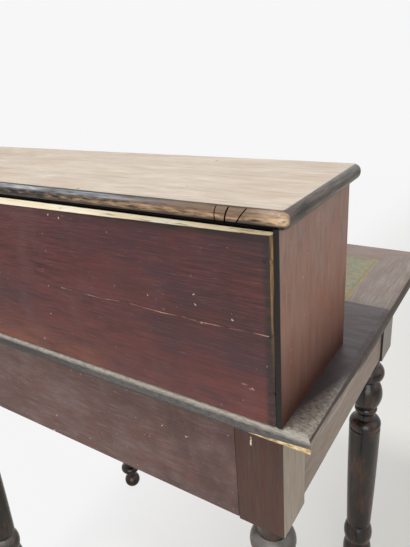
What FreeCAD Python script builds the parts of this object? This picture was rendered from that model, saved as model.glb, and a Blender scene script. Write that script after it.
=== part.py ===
import FreeCAD, Part
import math
import os

# A child's writing desk: a table with turned legs and a frieze drawer, and a low case with
# two small drawers and three pigeonholes at the back of its top. Millimetres, Z up.
# The sitter is on the -Y side. The origin lies on the floor below the middle of the whole desk.

Vector = FreeCAD.Vector
UP = Vector(0, 0, 1)

# Driving sizes of the table
post_width = 42.0
frame_width = 513.0
frame_depth = 329.0
top_underside = 568.5
apron_height = 106.5
post_below_apron = 2.0
top_thickness = 15.0
top_side_overhang = 27.0
top_front_overhang = 27.0
top_rear_overhang = 15.0

# Driving sizes of the case
case_end_setback = 21.5
case_depth = 127.0
case_height = 145.0
case_inset_from_top_edge = 1.2
board_thickness = 12.0
board_end_overhang = 8.0
board_rear_overhang = 6.0
board_front_overhang = 5.0

# Rails and their joints
rail_thickness = 20.0
front_rail_height = 18.0
tenon_thickness = 10.0
tenon_web = 2.0
tenon_shoulder = 10.0
front_tenon_shoulder = 4.0

# Boards of the top
frame_border = 45.0
rear_board_depth = 206.5
writing_panel_recess = 1.5
leather_thickness = 1.2
tongue_length = 6.0
tongue_thickness = 5.0
tongue_rise = 4.0
stile_tongue_setback = 10.5
spline_size = 18.0
spline_thickness = 4.0
nosing_upper_radius = 6.5
nosing_lower_radius = 5.0

# Boards of the case
case_side_thickness = 12.0
case_bottom_thickness = 8.0
case_back_thickness = 8.0
case_back_lip = 4.0
case_back_gap = 2.5
divider_thickness = 8.0
divider_setback = 1.0
shelf_thickness = 6.0
shelf_setback = 2.0
housing_depth = 3.0
drawer_bay_width = 154.0
lower_bay_height = 64.0
board_nosing_flat = 1.0

# Turned leg: radii
column_radius = 20.8
bead_radius = 20.6
ball_radius = 20.0
foot_bead_radius = 18.5
groove_radius = 17.5
column_foot_radius = 17.3
notch_radius = 16.0
foot_ball_radius = 15.0
collar_radius = 14.8
leg_neck_radius = 14.0
waist_radius = 13.1
thin_neck_radius = 11.6
ankle_radius = 7.5
foot_flat_radius = 6.0
column_swell = 0.7
scribe_depth = 1.0

# Turned leg: lengths counted down from the post, then up from the floor
leg_neck_length = 21.5
ring_length = 24.5
ball_length = 41.5
collar_length = 8.0
thin_neck_length = 10.0
shoulder_length = 12.5
ankle_height = 38.0
foot_bead_length = 16.0
vase_foot_length = 10.0
vase_length = 57.0
lower_bead_length = 34.0
notch_length = 6.0

# Drawers
frieze_front_thickness = 18.0
frieze_side_thickness = 10.0
frieze_back_thickness = 8.0
frieze_bottom_thickness = 6.0
frieze_rear_space = 35.0
frieze_knob_from_end = 91.0
small_front_thickness = 12.0
small_side_thickness = 7.0
small_back_thickness = 6.0
small_bottom_thickness = 4.0
front_skin = 5.0
drawer_bottom_rise = 5.0
drawer_side_drop = 2.0
drawer_back_drop = 4.0
drawer_back_inset = 4.0
knob_radius = 9.0
knob_length = 20.0
knob_spigot_radius = 4.0
knob_spigot_share = 0.55

# Runners, guides, kickers, stops and glue blocks
runner_width = 24.0
runner_height = 16.0
guide_rise = 30.0
stop_width = 12.0
stop_height = 14.0
stop_from_post = 2.0
block_size = 18.0
block_length = 50.0
block_from_kicker = 37.5

# Screws, dowels and nails
screw_shank_radius = 2.0
screw_head_radius = 4.0
screw_head_height = 2.5
screw_head_depth = 1.0
top_screw_bite = 10.5
top_screw_from_front = 95.0
top_screw_from_rear = 75.0
case_screw_from_kicker = 6.5
case_screw_from_front = 43.0
dowel_radius = 3.0
dowel_in_board = 8.0
dowel_in_side = 16.0
dowel_from_front = 28.0
dowel_from_rear = 36.0
nail_radius = 0.9
nail_head_radius = 1.8
nail_head_height = 1.2
nail_length = 20.0
lower_nail_rise = 27.0
upper_nail_drop = 21.5

# Clearances
mortise_end_gap = 1.0
open_shoulder_gap = 1.5
drawer_gap = 1.5
drawer_side_gap = 1.0
drawer_top_gap = 2.0
bottom_gap = 0.3
stop_gap = 0.5
hole_gap = 0.2
head_gap = 1.0

# Small rounding
arris = 0.8
post_arris = 1.2

# Places that follow from the sizes
rail_bottom = top_underside - apron_height
post_bottom = rail_bottom - post_below_apron
top_surface = top_underside + top_thickness
top_width = frame_width + 2 * top_side_overhang
top_depth = top_rear_overhang + frame_depth + top_front_overhang
case_top = top_surface + case_height
overall_height = case_top + board_thickness
overall_depth = top_depth + board_rear_overhang - case_inset_from_top_edge
top_front = -overall_depth / 2
top_rear = top_front + top_depth
frame_front = top_front + top_front_overhang
frame_rear = frame_front + frame_depth
case_rear = top_rear - case_inset_from_top_edge
case_front = case_rear - case_depth
half_frame = frame_width / 2
half_top = top_width / 2
half_case = half_top - case_end_setback
post_inner = half_frame - post_width

# How far a cutting tool runs past the wood
cut_margin = top_thickness / 3


def box(x_range, y_range, z_range):
    """A box between two corners, each range given as (low, high)."""
    size = [high - low for low, high in (x_range, y_range, z_range)]
    corner = Vector(x_range[0], y_range[0], z_range[0])
    return Part.makeBox(size[0], size[1], size[2], corner)


def ordered(a, b):
    """Two bounds as a (low, high) range."""
    return (min(a, b), max(a, b))


def cylinder(radius, length, start, direction):
    """A round bar from a start point along a direction."""
    return Part.makeCylinder(radius, length, start, direction)


def mirrored(shape):
    """The same piece on the other side of the desk."""
    return shape.mirror(Vector(0, 0, 0), Vector(1, 0, 0))


def cut_all(shape, tools):
    """Take a list of tools out of a shape."""
    for tool in tools:
        shape = shape.cut(tool)
    return shape


def round_edges(shape, radius, wanted):
    """Round the edges whose end points all pass a test."""
    edges = [e for e in shape.Edges if all(wanted(v.Point) for v in e.Vertexes)]
    return shape.makeFillet(radius, edges)


def save(name, shape):
    """Write one node."""
    shape.removeSplitter().exportStep(os.path.join("parts", name + ".step"))


def save_pair(name, shape):
    """Write a piece of the right side and its mirror image on the left."""
    save(name + "_right", shape)
    save(name + "_left", mirrored(shape))


def save_group(name, shapes):
    """Write identical loose solids as one node."""
    Part.makeCompound(shapes).exportStep(os.path.join("parts", name + ".step"))


os.makedirs("parts", exist_ok=True)

# Turned legs: the upper forms hang from the post, the lower ones stand on the floor,
# and the column fills the length between them.
ring_top = post_bottom - leg_neck_length
ball_top = ring_top - ring_length
collar_top = ball_top - ball_length
collar_bottom = collar_top - collar_length
shoulder_top = collar_bottom - thin_neck_length
column_top = shoulder_top - shoulder_length
foot_bead_top = ankle_height + foot_bead_length
vase_bottom = foot_bead_top + vase_foot_length
vase_top = vase_bottom + vase_length
lower_bead_top = vase_top + lower_bead_length
column_bottom = lower_bead_top + notch_length


def turned_profile():
    """Half outline of the turning in the XZ plane, from the floor up into the post."""
    foot_ball_middle = math.sqrt(foot_ball_radius ** 2 - foot_flat_radius ** 2)
    foot_ball_top = foot_ball_middle + math.sqrt(foot_ball_radius ** 2 - ankle_radius ** 2)
    foot_bead_middle = (ankle_height + foot_bead_top) / 2
    vase_middle = vase_bottom + 0.65 * vase_length
    vase_lower = (vase_bottom + vase_middle) / 2
    vase_upper = (vase_middle + vase_top) / 2
    lower_bead_middle = (vase_top + lower_bead_top) / 2
    column_middle = (column_bottom + column_top) / 2
    column_middle_radius = (column_foot_radius + column_radius) / 2 + column_swell
    shoulder_middle = column_top + 0.65 * shoulder_length
    scribed_radius = column_radius - scribe_depth
    inside_post = post_bottom + scribe_depth
    steps = [
        ("line", (foot_flat_radius, 0.0)),
        ("arc", (foot_ball_radius, foot_ball_middle), (ankle_radius, foot_ball_top)),
        ("line", (ankle_radius, ankle_height)),
        ("line", (waist_radius, ankle_height + scribe_depth)),
        ("arc", (foot_bead_radius, foot_bead_middle), (waist_radius, foot_bead_top)),
        ("line", (waist_radius, vase_bottom)),
        ("arc", (0.91 * bead_radius, vase_lower), (bead_radius, vase_middle)),
        ("arc", (0.96 * bead_radius, vase_upper), (groove_radius, vase_top)),
        ("line", (groove_radius, vase_top + 2 * scribe_depth)),
        ("arc", (bead_radius, lower_bead_middle), (notch_radius, lower_bead_top)),
        ("line", (notch_radius, lower_bead_top + notch_length / 2)),
        ("line", (column_foot_radius, column_bottom)),
        ("arc", (column_middle_radius, column_middle), (column_radius, column_top - 12 * scribe_depth)),
        ("line", (column_radius, column_top - 5 * scribe_depth)),
        ("line", (scribed_radius, column_top - 4 * scribe_depth)),
        ("line", (scribed_radius, column_top - 2 * scribe_depth)),
        ("line", (column_radius, column_top - scribe_depth)),
        ("arc", (0.92 * column_radius, shoulder_middle), (waist_radius, shoulder_top)),
        ("line", (thin_neck_radius, collar_bottom - 0.3 * thin_neck_length)),
        ("line", (waist_radius, collar_bottom)),
        ("arc", (collar_radius, (collar_bottom + collar_top) / 2), (waist_radius, collar_top)),
        ("arc", (ball_radius, (collar_top + ball_top) / 2), (waist_radius, ball_top)),
        ("arc", (bead_radius, (ball_top + ring_top) / 2), (leg_neck_radius, ring_top)),
        ("line", (leg_neck_radius, inside_post)),
        ("line", (0.0, inside_post)),
        ("line", (0.0, 0.0)),
    ]
    edges = []
    here = Vector(0, 0, 0)
    for step in steps:
        points = [Vector(radius, 0, height) for radius, height in step[1:]]
        if step[0] == "line":
            edges.append(Part.makeLine(here, points[0]))
        else:
            edges.append(Part.Arc(here, points[0], points[1]).toShape())
        here = points[-1]
    return Part.Face(Part.Wire(edges))


def turned_leg():
    """One leg on its own axis: square post and turning from the same piece of wood."""
    half = post_width / 2
    post = box((-half, half), (-half, half), (post_bottom, top_underside))
    upright = [e for e in post.Edges if abs(e.Vertexes[0].Z - e.Vertexes[1].Z) > post_width / 2]
    post = post.makeFillet(post_arris, upright)
    turning = turned_profile().revolve(Vector(0, 0, 0), UP, 360)
    return post.fuse(turning)


# Rails of the table, each with its tenons; a web of wood stays between the mortises of a post
tenon_inset = (rail_thickness - tenon_thickness) / 2
tenon_length = post_width - tenon_inset - tenon_thickness - tenon_web - mortise_end_gap
rail_z = (rail_bottom, top_underside)
tenon_z = (rail_bottom + tenon_shoulder, top_underside - tenon_shoulder)
upper_rail_z = (top_underside - front_rail_height, top_underside)
lower_rail_z = (rail_bottom, rail_bottom + front_rail_height)


def tenon_range(outer_face, inward):
    """Thickness range of a tenon, counted from the outer face of its rail."""
    return ordered(outer_face + inward * tenon_inset, outer_face + inward * (tenon_inset + tenon_thickness))


def cross_rail(y_outer, inward, z_range, shoulder):
    """A rail along X between two posts; gives the rail and one tool for both of its mortises."""
    y_range = ordered(y_outer, y_outer + inward * rail_thickness)
    tenon_y = tenon_range(y_outer, inward)
    tenon_height = (z_range[0] + shoulder, z_range[1] - shoulder)
    reach = post_inner + tenon_length
    rail = box((-post_inner, post_inner), y_range, z_range)
    rail = rail.fuse(box((-reach, reach), tenon_y, tenon_height))
    hole = reach + mortise_end_gap
    return rail, box((-hole, hole), tenon_y, tenon_height)


back_apron, back_mortise = cross_rail(frame_rear, -1, rail_z, tenon_shoulder)
front_upper_rail, upper_mortise = cross_rail(frame_front, 1, upper_rail_z, front_tenon_shoulder)
front_lower_rail, lower_mortise = cross_rail(frame_front, 1, lower_rail_z, front_tenon_shoulder)

# The side rail has shrunk with age, so its front shoulder stands a little off the post
# and only the tenon bridges the gap.
post_faces_y = (frame_front + post_width, frame_rear - post_width)
side_y = (post_faces_y[0] + open_shoulder_gap, post_faces_y[1])
side_tenon_x = tenon_range(half_frame, -1)
side_reach = (post_faces_y[0] - tenon_length, post_faces_y[1] + tenon_length)
side_hole = (side_reach[0] - mortise_end_gap, side_reach[1] + mortise_end_gap)
side_rail = box((half_frame - rail_thickness, half_frame), side_y, rail_z)
side_rail = side_rail.fuse(box(side_tenon_x, side_reach, tenon_z))
side_mortise = box(side_tenon_x, side_hole, tenon_z)

save("back_apron", back_apron)
save("front_upper_rail", front_upper_rail)
save("front_lower_rail", front_lower_rail)
save_pair("side_rail", side_rail)

leg = turned_leg()
leg_x = half_frame - post_width / 2
leg_rows = {"leg_front": frame_front + post_width / 2, "leg_rear": frame_rear - post_width / 2}
mortises = [back_mortise, upper_mortise, lower_mortise, side_mortise]
for name, leg_y in leg_rows.items():
    save_pair(name, cut_all(leg.translated(Vector(leg_x, leg_y, 0)), mortises))

# Desk top: one slab with a rounded nosing, divided into its boards


def nosed_slab(x_range, y_range, z_range, upper_radius, lower_radius):
    """A board with a rounded nosing on its four sides."""
    middle = (z_range[0] + z_range[1]) / 2
    slab = box(x_range, y_range, z_range)
    slab = round_edges(slab, upper_radius, lambda point: point.z > middle)
    return round_edges(slab, lower_radius, lambda point: point.z < z_range[0] + upper_radius / 100)


def prism(points, z_range):
    """A flat outline raised between two heights."""
    corners = [Vector(x, y, z_range[0]) for x, y in points]
    face = Part.Face(Part.makePolygon(corners + corners[:1]))
    return face.extrude(Vector(0, 0, z_range[1] - z_range[0]))


top_z = (top_underside, top_surface)
top_x = (-half_top, half_top)
slab = nosed_slab(top_x, (top_front, top_rear), top_z, nosing_upper_radius, nosing_lower_radius)
joint_y = top_rear - rear_board_depth
panel_half = half_top - frame_border
panel_front = top_front + frame_border
panel_x = (-panel_half, panel_half)
panel_y = (panel_front, joint_y)

beyond_x = half_top + cut_margin
beyond_z = (top_underside - cut_margin, top_surface + cut_margin)
mitre_inside = (panel_half, panel_front)
mitre_outside = (beyond_x, top_front - cut_margin)
rear_region = box((-beyond_x, beyond_x), (joint_y, top_rear + cut_margin), beyond_z)
stile_region = prism([(panel_half, joint_y), mitre_inside, mitre_outside, (beyond_x, joint_y)], beyond_z)
rail_outline = [(-beyond_x, mitre_outside[1]), mitre_outside, mitre_inside, (-panel_half, panel_front)]
rail_region = prism(rail_outline, beyond_z)

# A tongue runs around the writing panel and along the rear ends of the stiles.
tongue_z = (top_underside + tongue_rise, top_underside + tongue_rise + tongue_thickness)
leather_z = (top_surface - leather_thickness, top_surface)
tongue_x = (-panel_half - tongue_length, panel_half + tongue_length)
tongue_y = (panel_front - tongue_length, joint_y + tongue_length)
panel_tongue = box(tongue_x, tongue_y, tongue_z)
writing_panel = box(panel_x, panel_y, (top_underside + writing_panel_recess, leather_z[0])).fuse(panel_tongue)
leather_inset = box(panel_x, panel_y, leather_z)
stile_tongue_x = (panel_half, half_top - stile_tongue_setback)
stile_tongue = box(stile_tongue_x, (joint_y - tongue_length, joint_y + tongue_length), tongue_z)
top_stile = slab.common(stile_region).fuse(stile_tongue).cut(panel_tongue)
top_front_rail = slab.common(rail_region).cut(panel_tongue)
top_rear_board = cut_all(slab.common(rear_region), [panel_tongue, stile_tongue, mirrored(stile_tongue)])

# A loose spline crosses each mitre.
tongue_middle = (tongue_z[0] + tongue_z[1]) / 2
spline_z = (tongue_middle - spline_thickness / 2, tongue_middle + spline_thickness / 2)
spline_span = (-spline_size / 2, spline_size / 2)
spline = box(spline_span, spline_span, spline_z)
spline.rotate(Vector(0, 0, 0), UP, 45)
spline.translate(Vector((panel_half + half_top) / 2, (panel_front + top_front) / 2, 0))
splines = [spline, mirrored(spline)]
top_stile = top_stile.cut(spline)
top_front_rail = cut_all(top_front_rail, splines)

# Runners, guides and kickers behind the front rails
runner_x = (post_inner - runner_width, post_inner)
runner_y = (frame_front + rail_thickness, frame_rear - rail_thickness)
guide_x = (post_inner, half_frame - rail_thickness)
guide_z = (lower_rail_z[0], lower_rail_z[1] + guide_rise)
drawer_runner = box(runner_x, runner_y, (lower_rail_z[1] - runner_height, lower_rail_z[1]))
drawer_guide = box(guide_x, post_faces_y, guide_z)
drawer_kicker = box(runner_x, runner_y, upper_rail_z)

# Screws go up through each kicker into the top, and others through the top into the case.


def screw(seat, length):
    """A round-head wood screw that points up from the seat of its head."""
    head = cylinder(screw_head_radius, screw_head_height, seat - UP * screw_head_height, UP)
    return head.fuse(cylinder(screw_shank_radius, length, seat, UP))


def screw_hole(seat, length):
    """Room for the shank of a screw."""
    return cylinder(screw_shank_radius + hole_gap, length + hole_gap, seat, UP)


top_screw_x = (runner_x[0] + runner_x[1]) / 2
top_screw_y = (frame_front + top_screw_from_front, frame_rear - top_screw_from_rear)
top_screw_seat = upper_rail_z[0] + screw_head_depth + screw_head_height
top_screw_length = top_underside + top_screw_bite - top_screw_seat
top_screw_seats = [Vector(x, y, top_screw_seat) for x in (-top_screw_x, top_screw_x) for y in top_screw_y]
top_screws = [screw(seat, top_screw_length) for seat in top_screw_seats]
top_screw_holes = [screw_hole(seat, top_screw_length) for seat in top_screw_seats]
head_room = screw_head_depth + screw_head_height
recess_radius = screw_head_radius + head_gap
recesses = [cylinder(recess_radius, head_room, seat - UP * head_room, UP) for seat in top_screw_seats]

case_screw_length = top_thickness + case_bottom_thickness / 2
case_screw_end = runner_x[0] - case_screw_from_kicker
case_screw_x = (-case_screw_end, -case_screw_end / 3, case_screw_end / 3, case_screw_end)
case_screw_seats = [Vector(x, case_front + case_screw_from_front, top_underside) for x in case_screw_x]
case_screws = [screw(seat, case_screw_length) for seat in case_screw_seats]
case_screw_holes = [screw_hole(seat, case_screw_length) for seat in case_screw_seats]

# Glue blocks along the back apron
block_y = (frame_rear - rail_thickness - block_size, frame_rear - rail_thickness)
block_z = (top_underside - block_size, top_underside)
outer_block_x = runner_x[0] - block_from_kicker - block_length / 2
block_middles = (-outer_block_x, 0.0, outer_block_x)
glue_blocks = [box((x - block_length / 2, x + block_length / 2), block_y, block_z) for x in block_middles]

save("top_rear_board", cut_all(top_rear_board, top_screw_holes + case_screw_holes))
save_pair("top_stile", cut_all(top_stile, top_screw_holes))
save("top_front_rail", top_front_rail)
save("writing_panel", cut_all(writing_panel, top_screw_holes))
save("leather_inset", leather_inset)
save_group("mitre_splines", splines)
save_pair("drawer_runner", drawer_runner)
save_pair("drawer_guide", drawer_guide)
save_pair("drawer_kicker", cut_all(drawer_kicker, top_screw_holes + recesses))
save_group("top_screws", top_screws)
save_group("case_screws", case_screws)
save_group("glue_blocks", glue_blocks)

# Drawers


def turned_knob(place, spigot_length):
    """A turned knob that stands out towards the sitter, with a spigot into the drawer front."""
    corners = [(0.0, spigot_length), (knob_spigot_radius, spigot_length), (knob_spigot_radius, 0.0)]
    corners = corners + [(0.75 * knob_radius, 0.0), (0.70 * knob_radius, -0.12 * knob_length)]
    corners = corners + [(0.45 * knob_radius, -0.30 * knob_length)]
    points = [Vector(radius, reach, 0) for radius, reach in corners]
    edges = [Part.makeLine(a, b) for a, b in zip(points[:-1], points[1:])]
    crown_side = Vector(knob_radius, -0.66 * knob_length, 0)
    crown_edge = Vector(0.72 * knob_radius, -0.90 * knob_length, 0)
    crown_dome = Vector(0.40 * knob_radius, -0.975 * knob_length, 0)
    crown_end = Vector(0.08 * knob_radius, -knob_length, 0)
    crown_middle = Vector(0, -knob_length, 0)
    edges.append(Part.Arc(points[-1], crown_side, crown_edge).toShape())
    edges.append(Part.Arc(crown_edge, crown_dome, crown_end).toShape())
    edges.append(Part.makeLine(crown_end, crown_middle))
    edges.append(Part.makeLine(crown_middle, points[0]))
    knob = Part.Face(Part.Wire(edges)).revolve(Vector(0, 0, 0), Vector(0, 1, 0), 360)
    return knob.translated(place)


def build_drawer(prefix, x_range, y_range, z_range, boards, knob_name, knob_x):
    """A drawer of five boards and its knobs, housed in grooves and laps of each other."""
    front_thickness, side_thickness, back_thickness, bottom_thickness = boards
    y_front, y_back = y_range
    groove = side_thickness / 2
    floor_z = (z_range[0] + drawer_bottom_rise, z_range[0] + drawer_bottom_rise + bottom_thickness)
    left_x = (x_range[0] + drawer_side_gap, x_range[0] + drawer_side_gap + side_thickness)
    right_x = (x_range[1] - drawer_side_gap - side_thickness, x_range[1] - drawer_side_gap)
    side_y = (y_front + front_skin, y_back)
    side_z = (z_range[0], z_range[1] - drawer_side_drop)
    groove_x = (left_x[1] - groove, right_x[0] + groove)
    groove_front = y_front + front_thickness - groove
    floor_groove = box(groove_x, (groove_front, y_back + cut_margin), floor_z)
    floor_x = (groove_x[0] + bottom_gap, groove_x[1] - bottom_gap)
    bottom = box(floor_x, (groove_front + bottom_gap, y_back - drawer_back_inset / 2), floor_z)
    back_y = (y_back - drawer_back_inset - back_thickness, y_back - drawer_back_inset)
    back = box(groove_x, back_y, (floor_z[1], side_z[1] - drawer_back_drop))

    # The sides lap into the front from behind.
    lap_z = (z_range[0] - cut_margin, z_range[1] + cut_margin)
    left_lap = box((x_range[0] - cut_margin, left_x[1]), side_y, lap_z)
    right_lap = box((right_x[0], x_range[1] + cut_margin), side_y, lap_z)
    front = box(x_range, (y_front, y_front + front_thickness), z_range)
    front = round_edges(front, arris, lambda point: point.y < y_front + arris)
    front = cut_all(front, [left_lap, right_lap, floor_groove])

    spigot_length = knob_spigot_share * front_thickness
    knob_z = (z_range[0] + z_range[1]) / 2
    places = [Vector(x, y_front, knob_z) for x in knob_x]
    for place in places:
        hole = cylinder(knob_spigot_radius + hole_gap, spigot_length + hole_gap, place, Vector(0, 1, 0))
        front = front.cut(hole)

    save(prefix + "_front", front)
    save(prefix + "_side_left", cut_all(box(left_x, side_y, side_z), [floor_groove, back]))
    save(prefix + "_side_right", cut_all(box(right_x, side_y, side_z), [floor_groove, back]))
    save(prefix + "_back", back)
    save(prefix + "_bottom", bottom)
    save_group(prefix + "_" + knob_name, [turned_knob(place, spigot_length) for place in places])


frieze_x = (-post_inner + drawer_gap, post_inner - drawer_gap)
frieze_y = (frame_front, frame_rear - rail_thickness - frieze_rear_space)
frieze_z = (lower_rail_z[1], upper_rail_z[0] - drawer_top_gap)
frieze_walls = (frieze_front_thickness, frieze_side_thickness, frieze_back_thickness)
frieze_boards = frieze_walls + (frieze_bottom_thickness,)
frieze_knob_x = (frieze_x[0] + frieze_knob_from_end, frieze_x[1] - frieze_knob_from_end)
build_drawer("frieze_drawer", frieze_x, frieze_y, frieze_z, frieze_boards, "knobs", frieze_knob_x)

# Each stop stands on a runner behind the closed drawer.
stop_x = (post_inner - stop_from_post - stop_width, post_inner - stop_from_post)
stop_y = (frieze_y[1] + stop_gap, frieze_y[1] + stop_gap + stop_width)
stop = box(stop_x, stop_y, (lower_rail_z[1], lower_rail_z[1] + stop_height))
save_group("drawer_stops", [stop, mirrored(stop)])

# Case
case_inner = half_case - case_side_thickness
case_floor = top_surface + case_bottom_thickness
back_inner_face = case_rear - case_back_thickness
back_half = half_case - case_back_lip
bay_inner = case_inner - drawer_bay_width
bottom_half = case_inner + housing_depth
dowel_x = (case_inner + half_case) / 2
side_nail_x = (bottom_half + back_half) / 2
shelf_z = (case_floor + lower_bay_height, case_floor + lower_bay_height + shelf_thickness)
shelf_x = (bay_inner - housing_depth, bottom_half)
divider_x = (bay_inner - divider_thickness, bay_inner)
divider_z = (case_floor - housing_depth, case_top + housing_depth)

shelf = box(shelf_x, (case_front + shelf_setback, back_inner_face), shelf_z)
divider = box(divider_x, (case_front + divider_setback, back_inner_face), divider_z)
dividers = [divider, mirrored(divider)]
bottom_board = box((-bottom_half, bottom_half), (case_front, back_inner_face), (top_surface, case_floor))

case_back_z = (top_surface, case_top - case_back_gap)
case_back = box((-back_half, back_half), (back_inner_face, case_rear), case_back_z)
case_back = round_edges(case_back, arris, lambda point: point.y > case_rear - arris)
rebate_z = (top_surface - cut_margin, case_top + cut_margin)
back_rebate = box((-back_half, back_half), (back_inner_face, case_rear + cut_margin), rebate_z)

case_side = box((case_inner, half_case), (case_front, case_rear), (top_surface, case_top))
upright = [e for e in case_side.Edges if abs(e.Vertexes[0].Z - e.Vertexes[1].Z) > case_height / 2]
case_side = case_side.makeFillet(arris, [e for e in upright if e.Vertexes[0].X > dowel_x])
case_side = cut_all(case_side, [back_rebate, shelf, bottom_board])

# Dowels join the sides to the top board.
dowel_length = dowel_in_side + dowel_in_board
dowel_y = (case_front + dowel_from_front, case_rear - dowel_from_rear)
dowel_feet = [Vector(x, y, case_top - dowel_in_side) for x in (-dowel_x, dowel_x) for y in dowel_y]
dowels = [cylinder(dowel_radius, dowel_length, foot, UP) for foot in dowel_feet]
dowel_holes = [cylinder(dowel_radius + hole_gap, dowel_length, foot, UP) for foot in dowel_feet]

board_x = (-half_case - board_end_overhang, half_case + board_end_overhang)
board_y = (case_front - board_front_overhang, case_rear + board_rear_overhang)
board_nosing = (board_thickness - board_nosing_flat) / 2
case_top_board = nosed_slab(board_x, board_y, (case_top, overall_height), board_nosing, board_nosing)

# Nails hold the back panel to the sides and to the case bottom.
inward = Vector(0, -1, 0)
side_nail_z = (top_surface + lower_nail_rise, (top_surface + case_top) / 2, case_top - upper_nail_drop)
bottom_nail_z = top_surface + case_bottom_thickness / 2
nail_places = [Vector(x, case_rear, z) for x in (-side_nail_x, side_nail_x) for z in side_nail_z]
bottom_nail_x = (-drawer_bay_width, 0.0, drawer_bay_width)
nail_places = nail_places + [Vector(x, case_rear, bottom_nail_z) for x in bottom_nail_x]
nails = []
nail_holes = []
for place in nail_places:
    head = cylinder(nail_head_radius, nail_head_height, place, inward)
    nails.append(head.fuse(cylinder(nail_radius, nail_length, place, inward)))
    head_hole = cylinder(nail_head_radius + hole_gap, nail_head_height, place, inward)
    nail_holes.append(head_hole.fuse(cylinder(nail_radius + hole_gap, nail_length + hole_gap, place, inward)))

save_pair("case_side", cut_all(case_side, nail_holes + dowel_holes))
save("case_bottom", cut_all(bottom_board, case_screw_holes + dividers + nail_holes))
save("case_back", cut_all(case_back, nail_holes))
save_group("case_back_nails", nails)
save("case_top_board", cut_all(case_top_board, dividers + dowel_holes))
save_group("case_dowels", dowels)
save_pair("case_divider", divider.cut(shelf))
save_pair("case_shelf", shelf)

# The two small drawers are the same drawer at two places.
small_boards = (small_front_thickness, small_side_thickness, small_back_thickness, small_bottom_thickness)
small_y = (case_front, back_inner_face - stop_gap)
small_z = (case_floor, shelf_z[0] - drawer_gap)
bay_middle = (bay_inner + case_inner) / 2
half_small = drawer_bay_width / 2 - drawer_side_gap
for name, middle in (("left_drawer", -bay_middle), ("right_drawer", bay_middle)):
    small_x = (middle - half_small, middle + half_small)
    build_drawer(name, small_x, small_y, small_z, small_boards, "knob", (middle,))
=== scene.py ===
# %% [markdown]
# # A child's writing desk
# The desk looks like an old schoolroom piece: black turned legs, a stained apron and a low case of
# pigeonholes at the back of the top. Its parts were drawn to size in a CAD program, and this
# lesson dresses them in Blender. We load the parts, set up the camera and the studio, mix the
# finishes one by one, and remodel the few boards whose wear has changed their shape. Places are in
# metres, as in the drawing: X runs along the desk, +Y points to its back, +Z points up, and the
# origin lies on the floor below its middle.

import math

import bmesh
import bpy
from mathutils import Matrix, Vector


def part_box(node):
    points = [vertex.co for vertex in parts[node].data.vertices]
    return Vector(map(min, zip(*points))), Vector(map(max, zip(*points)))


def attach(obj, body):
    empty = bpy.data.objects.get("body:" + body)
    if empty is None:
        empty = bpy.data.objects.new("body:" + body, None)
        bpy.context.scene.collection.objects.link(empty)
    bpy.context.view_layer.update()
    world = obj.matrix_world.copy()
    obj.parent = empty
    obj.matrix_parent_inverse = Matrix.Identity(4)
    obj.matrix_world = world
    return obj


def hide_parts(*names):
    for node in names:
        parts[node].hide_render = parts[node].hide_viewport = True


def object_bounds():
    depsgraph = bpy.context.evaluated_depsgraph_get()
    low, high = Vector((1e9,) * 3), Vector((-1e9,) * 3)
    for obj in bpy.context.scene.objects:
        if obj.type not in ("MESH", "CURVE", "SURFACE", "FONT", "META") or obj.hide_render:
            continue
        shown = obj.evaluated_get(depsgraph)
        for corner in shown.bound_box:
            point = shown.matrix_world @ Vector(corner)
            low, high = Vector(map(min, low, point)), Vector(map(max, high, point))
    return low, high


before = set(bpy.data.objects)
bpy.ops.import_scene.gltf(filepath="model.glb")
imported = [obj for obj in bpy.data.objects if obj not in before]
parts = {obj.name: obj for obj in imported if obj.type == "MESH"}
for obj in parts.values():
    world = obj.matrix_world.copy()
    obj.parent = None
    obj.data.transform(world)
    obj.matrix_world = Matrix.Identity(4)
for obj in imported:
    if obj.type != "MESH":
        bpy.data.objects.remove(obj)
cad_low, cad_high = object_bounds()

print("parts:", len(parts), " size in mm:", [round(1000 * side, 1) for side in cad_high - cad_low])

# %% [markdown]
# ## The camera
# The photograph was taken from behind the desk, close to one corner and a little above it, with
# the camera slightly tilted. A camera can be aimed by a target or by angles. Angles are used here,
# because they keep the small tilt: a heading about Z, a dip below the horizon and a roll.

# %% Camera
camera_place = (-0.3823, 0.4376, 0.8244)
camera_heading = math.radians(214.26)
camera_dip = math.radians(23.26)
camera_roll = math.radians(-4.41)
# lens and sensor in millimetres
camera_lens, camera_sensor = 33.67, 36
nearest_seen = 0.01

turn = Matrix.Rotation(camera_heading, 4, "Z")
turn = turn @ Matrix.Rotation(math.radians(90) - camera_dip, 4, "X")
turn = turn @ Matrix.Rotation(camera_roll, 4, "Z")
bpy.ops.object.select_all(action="DESELECT")
bpy.ops.object.camera_add(location=camera_place, rotation=turn.to_euler())
camera = bpy.context.object
camera.name = "photo_camera"
camera.data.lens = camera_lens
camera.data.sensor_width = camera_sensor
camera.data.clip_start = nearest_seen
bpy.context.scene.camera = camera
print("camera at", camera_place, "with a lens of", camera_lens, "mm")

# %% [markdown]
# ## Colours and nodes
# Colours are written as the sRGB hex values that a paint chart would give, and one function turns
# them to the linear light that shaders work in. Nodes can be wired by hand in the shader editor. In a
# script, one function adds any node: it takes the node's settings, and for each input a number, a
# colour or the node that feeds it.

# %% Colours


def linear(hex_colour):
    """An sRGB hex colour as linear red, green, blue and alpha."""
    channels = [int(hex_colour[i:i + 2], 16) / 255 for i in (1, 3, 5)]
    light = [c / 12.92 if c <= 0.04045 else ((c + 0.055) / 1.055) ** 2.4 for c in channels]
    return light + [1.0]


print("mid grey #808080 is", round(linear("#808080")[0], 3), "in linear light")

# %% Nodes


def output_of(source):
    """A node's first usable output; anything else comes back as it is."""
    if isinstance(source, bpy.types.Node):
        return [socket for socket in source.outputs if not socket.is_unavailable][0]
    return source


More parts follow.
